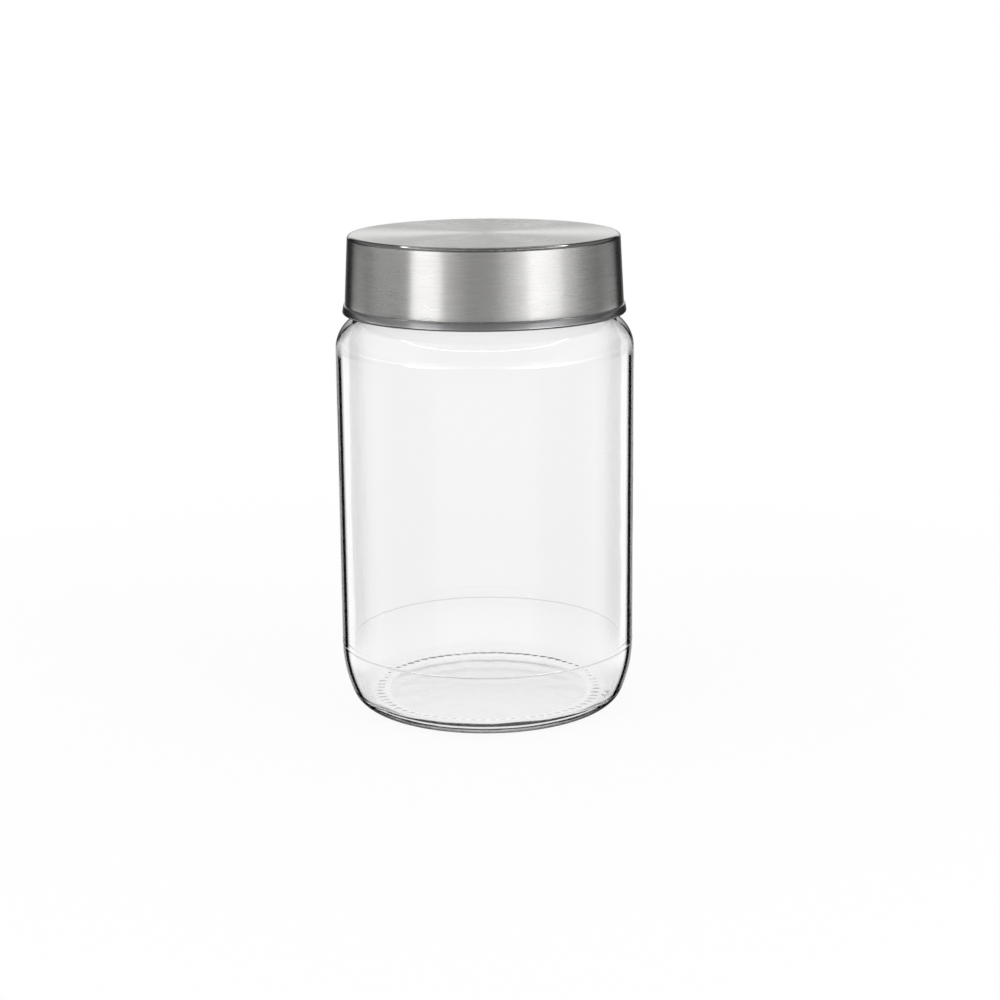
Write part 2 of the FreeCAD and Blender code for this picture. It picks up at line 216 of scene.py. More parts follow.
class LugSettings(bpy.types.PropertyGroup):
    """Sizes of the lugs on the neck and of those in the cap."""

    number: count("Lugs", "Lugs round the neck", 4)
    lead: length("Lead", "Climb of a lug over a full turn", 0.020)
    height: length("Height", "How far a lug stands off its wall", 0.0013)
    root_width: length("Root width", "Width of a lug at its wall", 0.0026)
    crest_width: length("Crest width", "Width of a lug at its crest", 0.0014)
    end_share: share("End width", "Width of a lug's ends as a share", 0.5)
    bury: length("Bury", "How deep a lug's ends sink into the wall", 0.0005)
    drop: length("Drop", "Upper end of a glass lug below the rim", 0.0036)
    glass_sweep: angle("Glass sweep", "Turn that a glass lug takes up", 84.0)
    cap_sweep: angle("Cap sweep", "Turn that a lug in the cap takes up", 30.0)
    cap_start: angle("Cap start", "Turn from a glass lug's lower end to the cap lug's", 9.0)
    radial_clearance: length("Radial clearance", "Room between lug and wall", 0.0004)
    seat_clearance: length("Seat clearance", "Room between the flanks of two lugs", 0.00015)


class CapSettings(bpy.types.PropertyGroup):
    """Sizes and colour of the plastic cap."""

    foot_level: length("Foot level", "Lower end of the skirt", CAP_LOW.z)
    ledge_level: length("Ledge level", "Ledge on which the steel stands", COVER_LOW.z)
    panel_under: length("Panel underside", "Underside of the panel", LINER_HIGH.z)
    panel_level: length("Panel level", "Upper side of the panel", CAP_HIGH.z)
    lead_in: length("Lead-in", "Chamfer inside the mouth", 0.0006)
    bead_rise: length("Liner bead rise", "How far the bead reaches under the liner", 0.0009)
    bead_width: length("Liner bead width", "Height of the bead that keeps the liner in", 0.002)
    bead_gap: length("Liner bead gap", "Room between bead and liner", 0.0001)
    ledge_width: length("Ledge", "How far the flange reaches beyond the steel", 0.00035)
    flare: length("Flange flare", "How much wider the flange is at its foot", 0.0005)
    ledge_round: length("Ledge round", "Radius of the flange's upper edge", 0.0003)
    foot_round: length("Foot round", "Radius of the flange's lower edge", 0.0005)
    plastic: colour("Plastic", "Colour of the moulded plastic", (0.30, 0.30, 0.305))


class CoverSettings(bpy.types.PropertyGroup):
    """Sizes and colour of the steel cover."""

    foot_radius: length("Foot radius", "Outer radius at the open end", COVER_HIGH.x)
    foot_level: length("Foot level", "Height of the open end", COVER_LOW.z)
    top_level: length("Top level", "Height of the flat top", COVER_HIGH.z)
    flare: length("Flare", "How much wider the cover is at its open end", 0.0011)
    edge_round: length("Edge round", "Outer radius of the top edge", 0.0013)
    sheet: length("Sheet", "Thickness of the steel", 0.0004)
    clearance: length("Clearance", "Room between the steel and the cap", 0.00005)
    steel: colour("Steel", "Colour of the brushed steel", (0.60, 0.595, 0.585))
    # On the round top edge: the share of the roughness kept, and the share of the colour kept, which darkens
    # it as painted shade.
    edge_smooth_and_shade: share("Edge finish", "Colour and roughness of the top edge as a share of the rest", 0.4)


class LinerSettings(bpy.types.PropertyGroup):
    """Sizes and colour of the sealing liner."""

    radius: length("Radius", "Radius of the liner", LINER_HIGH.x)
    low_level: length("Low level", "Side that lies on the glass", LINER_LOW.z)
    high_level: length("High level", "Side that lies on the cap", LINER_HIGH.z)
    edge_round: length("Edge round", "Radius of the edges", 0.00025)
    foam: colour("Foam", "Colour of the foam", (0.80, 0.80, 0.77))


class StageSettings(bpy.types.PropertyGroup):
    """Floor, lights and camera."""

    floor_radius: length("Floor radius", "Radius of the pale floor", 0.42)
    floor_gap: length("Floor gap", "Floor below the bearing ring", 0.0001)
    floor_white: colour("Floor", "Colour of the floor", (0.9, 0.9, 0.9))
    floor_glow: share("Floor glow", "Share of plain white near the jar; the rest takes its shadow", 0.92)
    strip_light: level("Strip light", "Strength of the narrow ring light above the jar", 14.0)
    panel_light: level("Panel lights", "Strength of the two light panels beside the camera", 10.2)
    room_light: level("Room light", "Strength of the grey room round the jar", 1.0)
    table_light: level("Table light", "Strength of the pale table that the wall of the glass shows", 1.0)
    side_light: level("Side lights", "Strength of the softboxes that light the floor", 2.2)
    camera_back: length("Camera back", "Camera in front of the jar's axis", 0.650)
    camera_rise: length("Camera rise", "Camera above the shelf", 0.2130)
    pitch: angle("Pitch", "Camera turned down", 13.136)
    yaw: angle("Yaw", "Camera turned to the right", 0.364)
    roll: angle("Roll", "Camera turned about its own axis", -0.469)
    lens: FloatProperty(
        name="Lens", description="Focal length in millimetres", default=80.06, unit="CAMERA"
    )


def line(start, end, rows):
    """Straight run of an outline: the start plus an even share, from none to all, of the way to the end."""
    shares = np.linspace(0.0, 1.0, rows)[:, None]
    return np.asarray(start) + shares * (np.asarray(end) - np.asarray(start))


def arc(centre, radius, first, last, rows):
    """Round run of an outline: the centre plus the radius times the cosine and sine of an even angle."""
    turn = np.linspace(first, last, rows)
    return np.asarray(centre) + radius * np.stack([np.cos(turn), np.sin(turn)], axis=1)


def rounded(before, corner, after, radius, rows):
    """Round corner of an outline: the arc of that radius that touches both straight sides of the corner."""
    before, corner, after = np.asarray(before), np.asarray(corner), np.asarray(after)
    back = (before - corner) / np.linalg.norm(before - corner)
    ahead = (after - corner) / np.linalg.norm(after - corner)
    half = math.acos(np.dot(back, ahead)) / 2
    inward = (back + ahead) / np.linalg.norm(back + ahead)
    centre = corner + inward * radius / math.sin(half)
    reach = radius / math.tan(half)
    first, last = (corner + side * reach - centre for side in (back, ahead))
    start = math.atan2(first[1], first[0])
    sweep = (math.atan2(last[1], last[0]) - start + math.pi) % FULL_TURN - math.pi
    return arc(centre, radius, start, start + sweep, rows)


def joined(*runs):
    """One outline from runs that meet end to end: each meeting point is kept once."""
    return np.concatenate([runs[0], *(run[1:] for run in runs[1:])])


def angles(segments):
    """The even angles of a turned surface, as one row."""
    return np.arange(segments)[None, :] * (FULL_TURN / segments)


def turned(name, outline, segments, outward=0.0, upward=0.0):
    """Surface turned about Z: the outline's point at radius r and height z, at the angle a, lies at
    (r cos a, r sin a, z), after outward is added to r and upward to z. The outline starts and ends on the
    axis, where fans of triangles close the surface, and keeps the solid on its left."""
    turn = angles(segments)
    radius = (outline[:, 0, None] + outward) * np.ones(segments)
    height = (outline[:, 1, None] + upward) * np.ones(segments)
    rings = np.stack([radius * np.cos(turn), radius * np.sin(turn), height], axis=2)[1:-1]
    poles = np.array([[0.0, 0.0, outline[0, 1]], [0.0, 0.0, outline[-1, 1]]])
    points = np.concatenate([poles, rings.reshape(-1, 3)])

    index = 2 + np.arange(rings.shape[0] * segments).reshape(rings.shape[0], segments)
    beside = np.roll(index, -1, axis=1)
    quads = np.stack([index[:-1], beside[:-1], beside[1:], index[1:]], axis=2).reshape(-1, 4)
    low_fan = np.stack([np.zeros_like(index[0]), beside[0], index[0]], axis=1)
    high_fan = np.stack([index[-1], beside[-1], np.ones_like(index[-1])], axis=1)

    mesh = bpy.data.meshes.new(name)
    mesh.from_pydata(points, [], quads.tolist() + low_fan.tolist() + high_fan.tolist())
    mesh.shade_smooth()
    mesh.set_sharp_from_angle(angle=SHARP_ANGLE)
    if mesh.validate():
        raise RuntimeError(f"{name} isn't a sound surface")
    piece = bpy.data.objects.new(name, mesh)
    bpy.context.scene.collection.objects.link(piece)
    return piece


def corner_arcs(foot, inset, height, lower_share):
    """Centres and radii of two smooth arcs from a level floor at foot to an upright wall, inset further out
    and height further up, and the angle at which they meet. The lower radius is a share of the inset, and
    the upper one is what makes both arcs touch."""
    lower = inset * lower_share
    rise = height - lower
    upper = (inset**2 + rise**2 - lower**2) / (inset - lower) / 2
    lower_centre = foot[0], foot[1] + lower
    upper_centre = foot[0] + inset - upper, foot[1] + height
    meeting = math.atan2(lower_centre[1] - upper_centre[1], lower_centre[0] - upper_centre[0])
    return lower_centre, lower, upper_centre, upper, meeting


def bead(wall, low, high, rise):
    """Round bead on an upright wall: centre, radius and half angle of the arc through both ends whose middle
    stands off the wall by rise."""
    half = (high - low) / 2
    radius = (rise**2 + half**2) / abs(rise) / 2
    centre = wall + rise - math.copysign(radius, rise), (low + high) / 2
    spread = math.asin(half / radius)
    return centre, radius, spread


def lug_climb(lugs, turns, start, sweep):
    """How far a lug has climbed at each turn: by the lead along its sweep, and evenly back to nothing from
    there to the next lug."""
    pitch = FULL_TURN / lugs.number
    turn = (turns - start) % pitch
    top = sweep * lugs.lead / FULL_TURN
    return np.interp(turn, (0.0, sweep, pitch), (0.0, top, 0.0))


def lug_relief(lugs, heights, turns, start, sweep, foot):
    """How far the ring of lugs stands off its wall at each height and turn. A lug's middle starts at the
    level foot and climbs. It is full halfway, and sinks at its ends as the sixth power of the way from there.
    Its section is a trapezoid: the lower of the crest and of a flank that falls into the wall."""
    along = (turns - start) % (FULL_TURN / lugs.number) / sweep
    fullness = np.clip(1 - (2 * along - 1) ** LUG_END_POWER, 0, 1)
    off = np.abs(heights - foot - lug_climb(lugs, turns, start, sweep))
    taper = lugs.end_share + (1 - lugs.end_share) * fullness
    slope = (lugs.root_width - lugs.crest_width) / lugs.height / 2
    half_crest = lugs.crest_width / 2 * taper
    half_buried = (lugs.root_width / 2 + slope * lugs.bury) * taper
    standing = lugs.height * fullness - lugs.bury / 2 * (1 - fullness)
    flank = (half_buried - off) / (half_buried - half_crest) * (standing + lugs.bury) - lugs.bury
    return np.where(along <= 1, np.clip(np.minimum(standing, flank), 0, None), 0)


def glass_lug_foot(glass, lugs):
    """Level of a glass lug's middle at its lower end."""
    return glass.rim_level - lugs.drop - lugs.glass_sweep * lugs.lead / FULL_TURN


def lug_band(lugs, foot):
    """Lower and upper level of the close rows round a lug whose middle starts at the level foot."""
    return foot - LUG_BAND * lugs.root_width, foot + LUG_BAND * lugs.root_width


def seam_level(glass):
    """Level of the middle of the mould seam."""
    return glass.heel_height + SEAM_MIDDLE * glass.seam_width


def glass_outline(glass, lugs):
    """Half outline of the jar, from the domed base up the outside, over the rim and down the inside: straight
    runs and arcs that touch. Rows lie closer at the knurls, at the heel's seam and where the lugs are."""
    radius, wall, rim = glass.radius, glass.wall, glass.rim_level
    inner = radius - wall
    bearing = radius - glass.heel_inset
    dome = bearing - glass.bearing_width
    up = glass.push_up_height
    dome_round = (dome**2 + up**2) / up / 2
    fall = math.asin(dome / dome_round)
    heel = corner_arcs((bearing, 0.0), glass.heel_inset, glass.heel_height, glass.heel_round)
    seam_head = glass.heel_height + 2 * SEAM_MIDDLE * glass.seam_width
    shoulder = radius - glass.shoulder_radius, glass.body_height
    neck = radius - glass.shoulder_inset
    fillet_reach = glass.shoulder_radius + glass.neck_fillet
    neck_level = shoulder[1] + math.sqrt(fillet_reach**2 - (neck + glass.neck_fillet - shoulder[0]) ** 2)
    fillet = neck + glass.neck_fillet, neck_level
    meeting = math.atan2(fillet[1] - shoulder[1], fillet[0] - shoulder[0])
    inner_shoulder = inner - glass.inner_shoulder, shoulder[1]
    inner_fillet = neck - wall + glass.inner_fillet
    inner_reach = glass.inner_shoulder + glass.inner_fillet
    inner_level = shoulder[1] + math.sqrt(inner_reach**2 - (inner_fillet - inner_shoulder[0]) ** 2)
    inner_meeting = math.atan2(inner_level - shoulder[1], inner_fillet - inner_shoulder[0])
    bead_low = neck_level + glass.bead_gap
    bead_high = bead_low + glass.bead_width
    bead_centre, bead_radius, bead_spread = bead(neck, bead_low, bead_high, glass.bead_rise)
    outer_round, inner_round = wall * glass.rim_outer, wall * glass.rim_inner
    lug_low, lug_high = lug_band(lugs, glass_lug_foot(glass, lugs))
    floor_level = up + glass.base_thickness
    floor_radius = inner - glass.floor_inset
    floor = corner_arcs((floor_radius, floor_level), glass.floor_inset, glass.floor_corner, glass.floor_round)
    return joined(
        arc((0.0, up - dome_round), dome_round, QUARTER, QUARTER - fall, 24),
        line((dome, 0.0), (bearing, 0.0), 18),
        arc(heel[0], heel[1], -QUARTER, heel[4], 20),
        arc(heel[2], heel[3], heel[4], 0.0, 16),
        line((radius, glass.heel_height), (radius, seam_head), 15),
        line((radius, seam_head), (radius, shoulder[1]), 10),
        arc(shoulder, glass.shoulder_radius, 0.0, meeting, 20),
        arc(fillet, glass.neck_fillet, math.pi + meeting, math.pi, 8),
        line((neck, neck_level), (neck, bead_low), 3),
        arc(bead_centre, bead_radius, -bead_spread, bead_spread, 11),
        line((neck, bead_high), (neck, lug_low), 6),
        line((neck, lug_low), (neck, lug_high), 33),
        line((neck, lug_high), (neck, rim - outer_round), 8),
        arc((neck - outer_round, rim - outer_round), outer_round, 0.0, QUARTER, 7),
        line((neck - outer_round, rim), (neck - wall + inner_round, rim), 3),
        arc((neck - wall + inner_round, rim - inner_round), inner_round, QUARTER, math.pi, 7),
        line((neck - wall, rim - inner_round), (neck - wall, inner_level), 6),
        arc((inner_fillet, inner_level), glass.inner_fillet, math.pi, math.pi + inner_meeting, 12),
        arc(inner_shoulder, glass.inner_shoulder, inner_meeting, 0.0, 16),
        line((inner, shoulder[1]), (inner, floor_level + glass.floor_corner), 10),
        arc(floor[2], floor[3], 0.0, floor[4], 14),
        arc(floor[0], floor[1], floor[4], -QUARTER, 14),
        line((floor_radius, floor_level), (0.0, floor_level), 8),
    )


def glass_surface(glass, lugs):
    """The jar: its half outline turned about Z. On the neck the lugs are added outward. On the bearing ring
    the gaps between knurls rise by half a cosine wave round the ring times one across it, and at the heel
    the seam stands off as a bell curve. Inside the heel the glass is uneven by a sum of cosine waves, and the
    outer side is marked with one."""
    outline = glass_outline(glass, lugs)
    radius, height = outline[:, :1], outline[:, 1:]
    turns = angles(SEGMENTS)
    neck = glass.radius - glass.shoulder_inset
    on_neck = np.abs(radius - neck) < ON_WALL
    foot = glass_lug_foot(glass, lugs)
    band = lug_band(lugs, foot)
    neck_rows = height[on_neck]
    follow = np.interp(height, (neck_rows.min(), *band, neck_rows.max()), (0.0, 1.0, 1.0, 0.0))
    upward = np.where(on_neck, follow * lug_climb(lugs, turns, 0.0, lugs.glass_sweep), 0.0)
    relief = lug_relief(lugs, height + upward, turns, 0.0, lugs.glass_sweep, foot)
    outward = np.where(on_neck, relief, 0.0)
    on_wall = np.abs(radius - glass.radius) < ON_WALL
    seam = glass.seam_rise * np.exp(-(((height - seam_level(glass)) / glass.seam_width) ** 2))
    outward = outward + np.where(on_wall, seam, 0.0)
    bearing = glass.radius - glass.heel_inset
    ring_middle = bearing - KNURL_MIDDLE * glass.bearing_width
    across = np.clip((radius - ring_middle) / (KNURL_REACH * glass.bearing_width), -1, 1)
    window = np.where(height < glass.push_up_height / RING_PART, (1 + np.cos(math.pi * across)) / 2, 0.0)
    upward = upward + glass.knurl_depth * window * (1 - np.cos(glass.knurl_count * turns)) / 2
    outside = np.arange(len(outline)) <= np.argmax(outline[:, 1])
    heel = np.clip(1 - height / glass.heel_height, 0, 1) * np.clip(radius / bearing, 0, 1) ** 4
    waves = sum(np.cos(number * turns + start) for number, start in HEEL_WAVES)
    upward = upward + np.where(outside[:, None], 0.0, glass.wave * heel * waves)
    piece = turned("jar_glass", outline, SEGMENTS, outward, upward)
    marks = np.concatenate([outside[[0, -1]], np.repeat(outside[1:-1], SEGMENTS)]).astype(np.float32)
    piece.data.attributes.new("outside", "FLOAT", "POINT").data.foreach_set("value", marks)
    return piece


def cap_surface(cap, cover, glass, lugs):
    """The plastic cap: the outline of panel, skirt and flange turned about Z, with its lugs added inward."""
    skirt = glass.radius - glass.shoulder_inset + lugs.height + lugs.radial_clearance
    mouth = skirt + cap.lead_in
    steel_gap = cover.sheet + cover.clearance
    ledge = cover.foot_radius - steel_gap
    slope = cover.flare / (cover.top_level - cover.foot_level)
    panel = ledge - cover.flare + cover.sheet * slope
    flange_top = cover.foot_radius + cap.ledge_width
    flange_foot = flange_top + cap.flare
    bead_high = glass.rim_level - cap.bead_gap
    bead_low = bead_high - cap.bead_width
    bead_centre, bead_radius, bead_spread = bead(skirt, bead_low, bead_high, -cap.bead_rise)
    gap = (lugs.root_width - lugs.crest_width) * lugs.radial_clearance / lugs.height
    below = -(lugs.root_width + lugs.crest_width - gap) / 2 - lugs.seat_clearance
    lug_foot = glass_lug_foot(glass, lugs) + lugs.cap_start * lugs.lead / FULL_TURN + below
    lug_low, lug_high = lug_band(lugs, lug_foot)
    mouth_level = cap.foot_level + cap.lead_in
    mouth_end, flange_end = (mouth, cap.foot_level), (flange_foot, cap.foot_level)
    ledge_end, ledge_start = (flange_top, cap.ledge_level), (ledge, cap.ledge_level)
    foot = rounded(mouth_end, flange_end, ledge_end, cap.foot_round, 9)
    shelf = rounded(flange_end, ledge_end, ledge_start, cap.ledge_round, 7)
    edge = rounded(ledge_start, (panel, cap.panel_level), (0.0, cap.panel_level), cover.edge_round, 8)
    outline = joined(
        line((0.0, cap.panel_under), (skirt, cap.panel_under), 8),
        line((skirt, cap.panel_under), (skirt, bead_high), 3),
        arc(bead_centre, bead_radius, math.pi - bead_spread, math.pi + bead_spread, 12),
        line((skirt, bead_low), (skirt, lug_high), 8),
        line((skirt, lug_high), (skirt, lug_low), 33),
        line((skirt, lug_low), (skirt, mouth_level), 6),
        line((skirt, mouth_level), mouth_end, 3),
        line(mouth_end, foot[0], 3),
        foot,
        line(foot[-1], shelf[0], 4),
        shelf,
        line(shelf[-1], ledge_start, 3),
        line(ledge_start, edge[0], 6),
        edge,
        line(edge[-1], (0.0, cap.panel_level), 8),
    )
    turns, height = angles(SEGMENTS), outline[:, 1:]
    on_skirt = (np.abs(outline[:, :1] - skirt) < ON_WALL) & (height < bead_low)
    follow = np.interp(height, (mouth_level, lug_low, lug_high, bead_low), (0.0, 1.0, 1.0, 0.0))
    upward = np.where(on_skirt, follow * lug_climb(lugs, turns, lugs.cap_start, lugs.cap_sweep), 0.0)
    relief = lug_relief(lugs, height + upward, turns, lugs.cap_start, lugs.cap_sweep, lug_foot)
    return turned("lid_cap", outline, SEGMENTS, np.where(on_skirt, -relief, 0.0), upward)


def cover_surface(cover):
    """The steel cover: a sheet's outline, inner side and outer side, turned about Z. Both sides are a level
    top, a round edge and a cone that widens downward, and the open end has a small round lip."""
    slope = cover.flare / (cover.top_level - cover.foot_level)
    thick = cover.sheet * math.sqrt(1 + slope**2)
    top = cover.foot_radius - cover.flare
    inner_level = cover.top_level - cover.sheet
    inner_foot = cover.foot_radius - thick
    inner_top = top - thick + cover.sheet * slope
    lip = LIP_ROUND * cover.sheet
    inner_corner, inner_end = (inner_top, inner_level), (inner_foot, cover.foot_level)
    outer_end, outer_corner = (cover.foot_radius, cover.foot_level), (top, cover.top_level)
    inner_edge = rounded((0.0, inner_level), inner_corner, inner_end, cover.edge_round - cover.sheet, 8)
    inner_lip = rounded(inner_corner, inner_end, outer_end, lip, 5)
    outer_lip = rounded(inner_end, outer_end, outer_corner, lip, 6)
    outer_edge = rounded(outer_end, outer_corner, (0.0, cover.top_level), cover.edge_round, 14)
    outline = joined(
        line((0.0, inner_level), inner_edge[0], 6),
        inner_edge,
        line(inner_edge[-1], inner_lip[0], 6),
        inner_lip,
        line(inner_lip[-1], outer_lip[0], 2),
        outer_lip,
        line(outer_lip[-1], outer_edge[0], 14),
        outer_edge,
        line(outer_edge[-1], (0.0, cover.top_level), 24),
    )
    return turned("lid_cover", outline, SEGMENTS)


def liner_surface(liner):
    """The liner: a disc's outline with round edges, turned about Z."""
    low, high, radius = liner.low_level, liner.high_level, liner.radius
    low_edge = rounded((0.0, low), (radius, low), (radius, high), liner.edge_round, 6)
    high_edge = rounded((radius, low), (radius, high), (0.0, high), liner.edge_round, 6)
    outline = joined(
        line((0.0, low), low_edge[0], 16),
        low_edge,
        line(low_edge[-1], high_edge[0], 3),
        high_edge,
        line(high_edge[-1], (0.0, high), 16),
    )
    return turned("lid_liner", outline, LINER_SEGMENTS)


class Nodes:
    """A node tree, with short ways to add nodes and to wire them."""

    def __init__(self, tree):
        self.tree = tree

    def add(self, kind, inputs=None, **settings):
        """Adds a node. Each input is a socket to wire from, or a value to set."""
        node = self.tree.nodes.new(kind)
        for name, value in settings.items():
            setattr(node, name, value)
        self.feed(node, inputs or {})
        return node

    def feed(self, node, inputs):
        """Wires or sets a node's inputs, by name or by place."""
        for key, value in inputs.items():
            if isinstance(value, bpy.types.NodeSocket):
                self.tree.links.new(value, node.inputs[key])
            else:
                node.inputs[key].default_value = value

    def sum(self, operation, *terms):
        """The result of a Math node."""
        return self.add("ShaderNodeMath", dict(enumerate(terms)), operation=operation).outputs[0]

    def vector(self, operation, *terms):
        """The result of a Vector Math node: a vector, or the number that the operation gives."""
        node = self.add("ShaderNodeVectorMath", dict(enumerate(terms)), operation=operation)
        return node.outputs["Value" if operation == "LENGTH" else "Vector"]

    def noise(self, place, scale, detail, roughness=0.5):
        """Noise between about 0.2 and 0.8."""
        return self.add(
            "ShaderNodeTexNoise",
            {"Vector": place, "Scale": scale, "Detail": detail, "Roughness": roughness},
        ).outputs["Fac"]

    def spread(self, number, low, high, to_low, to_high, smooth=False):
        """A number moved from one range to another, and held inside it."""
        return self.add(
            "ShaderNodeMapRange",
            {"Value": number, "From Min": low, "From Max": high, "To Min": to_low, "To Max": to_high},
            interpolation_type="SMOOTHSTEP" if smooth else "LINEAR",
        ).outputs["Result"]

    def blend(self, amount, first, second):
        """A colour between two colours."""
        return self.add("ShaderNodeMix", {0: amount, 6: first, 7: second}, data_type="RGBA").outputs[2]

    def ramp(self, amount, stops):
        """A grey that goes straight from stop to stop, each a place and a level."""
        node = self.add("ShaderNodeValToRGB", {"Fac": amount})
        elements = node.color_ramp.elements
        while len(elements) < len(stops):
            elements.new(1.0)
        for element, (place, grey) in zip(elements, stops):
            element.position = place
            element.color = opaque([grey] * 3)
        return node.outputs["Color"]

    def bump(self, height, distance, strength):
        """A normal tilted by a height."""
        return self.add(
            "ShaderNodeBump", {"Height": height, "Distance": distance, "Strength": strength}
        ).outputs["Normal"]

    def mottle(self, pattern, reach, tint, darker, lighter):
        """A colour that a pattern makes darker and lighter, fully so at reach from the pattern's middle."""
        amount = self.spread(pattern, 0.5 - reach, 0.5 + reach, 0.0, 1.0)
        return self.blend(amount, shaded(tint, darker), shaded(tint, lighter))

    def place(self):
        """Where a point lies in its object."""
        return self.add("ShaderNodeTexCoord").outputs["Object"]

    def radius(self, place):
        """How far a place lies from the axis."""
        return self.vector("LENGTH", self.vector("MULTIPLY", place, (1.0, 1.0, 0.0)))

    def height(self, place):
        """How high a place lies."""
        return self.add("ShaderNodeSeparateXYZ", {"Vector": place}).outputs["Z"]

    def seen(self):
        """One where the camera sees the light straight or through glass, and nought elsewhere."""
        rays = self.add("ShaderNodeLightPath").outputs
        return self.sum("MAXIMUM", rays["Is Camera Ray"], rays["Is Transmission Ray"])


def finish(name):
    """A new material: the material, its nodes and its surface shader."""
    material = bpy.data.materials.new(name)
    material.use_nodes = True
    return material, Nodes(material.node_tree), material.node_tree.nodes["Principled BSDF"]


def opaque(tint):
    """A colour with full alpha."""
    return (*tint, 1.0)


def shaded(tint, factor):
    """A colour made lighter or darker, with full alpha."""
    return opaque(min(1.0, channel * factor) for channel in tint)


def clear_glass(glass):
    """Clear moulded glass: fully transmitting and a little wavy. Its colour carries painted shade: where its
    outer side is seen at a low angle it is darkened, which draws a dark line close to the edges of the wall
    in place of the dark surroundings seen through them. The painted line fades over the base and on the
    shoulder, the inner side is darkened at low angles too, and a fine darker line is painted at the mould
    seam. The dome under the base is stippled."""
    material, nodes, surface = finish("clear_glass")
    place = nodes.place()
    radius, height = nodes.radius(place), nodes.height(place)
    waves = nodes.noise(nodes.vector("MULTIPLY", place, (1.0, 1.0, 0.35)), 70.0, 2.0)
    facing = nodes.add("ShaderNodeLayerWeight", {"Blend": 0.5}).outputs["Facing"]
    outside = nodes.add("ShaderNodeAttribute", attribute_name="outside").outputs["Fac"]

    # Painted shade on the inner side: darker where it is seen at a low angle, and none toward the floor
    # inside.
    clear, low = glass.straight_on_shade, glass.low_angle_shade
    inner = nodes.ramp(facing, (
        (0.0, clear), (0.4, clear), (0.5, 0.87), (0.62, 0.62), (0.73, low), (0.80, low), (0.85, 1.0),
    ))
    over_floor = nodes.spread(height, 0.008, glass.heel_height, 0.0, 1.0, smooth=True)
    inner = nodes.blend(over_floor, WHITE, inner)

    # Painted shade along the outer side's edges: a dark line and a darker rim where it is seen at a low
    # angle, a plain rim over the base, a lighter shade on the shoulder, and none where it is seen straight on
    # or on the bearing ring.
    dark, rim = glass.edge_line_shade, glass.edge_rim_shade
    edge = nodes.ramp(facing, (
        (0.0, 0.4), (0.73, 0.4), (0.745, dark), (0.815, dark), (0.84, rim), (1.0, rim),
    ))
    over_base = nodes.spread(height, 0.0, 0.3 * glass.heel_height, 0.0, 1.0)
    edge = nodes.blend(over_base, opaque([rim] * 3), edge)
    on_body = nodes.spread(height, glass.body_height - 0.001, glass.body_height + 0.003, 1.0, 0.0)
    edge = nodes.blend(on_body, opaque([glass.shoulder_edge_shade] * 3), edge)
    low_angle = nodes.spread(facing, 0.69, 0.73, 0.0, 1.0)
    edge = nodes.blend(low_angle, WHITE, edge)
    over_ring = nodes.spread(height, 0.0003, 0.0009, 0.0, 1.0)
    edge = nodes.blend(over_ring, WHITE, edge)
    # Painted shade: a fine darker line at the mould seam, for the way its ridge bends the light.
    off_seam = nodes.sum("ABSOLUTE", nodes.sum("SUBTRACT", height, seam_level(glass)))
    seam = nodes.spread(off_seam, 0.0, 1.3 * glass.seam_width, glass.seam_shade, 1.0)
    edge = nodes.vector("MULTIPLY", edge, seam)

    dome = glass.radius - glass.heel_inset - glass.bearing_width
    under = nodes.sum("MULTIPLY", outside, nodes.spread(height, 0.0010, 0.0014, 1.0, 0.0))
    under = nodes.sum("MULTIPLY", under, nodes.spread(radius, dome, dome + 0.0005, 1.0, 0.0))
    nodes.feed(surface, {
        "Base Color": nodes.blend(outside, inner, edge),
        "Transmission Weight": 1.0,
        "Roughness": nodes.sum("MULTIPLY", under, glass.stipple),
        "IOR": 1.5,
        "Normal": nodes.bump(waves, 0.0004, 0.25),
    })
    depth = nodes.add("ShaderNodeVolumeAbsorption", {"Color": (0.905, 0.912, 0.909, 1.0), "Density": 20.0})
    nodes.feed(material.node_tree.nodes["Material Output"], {"Volume": depth.outputs["Volume"]})
    return material


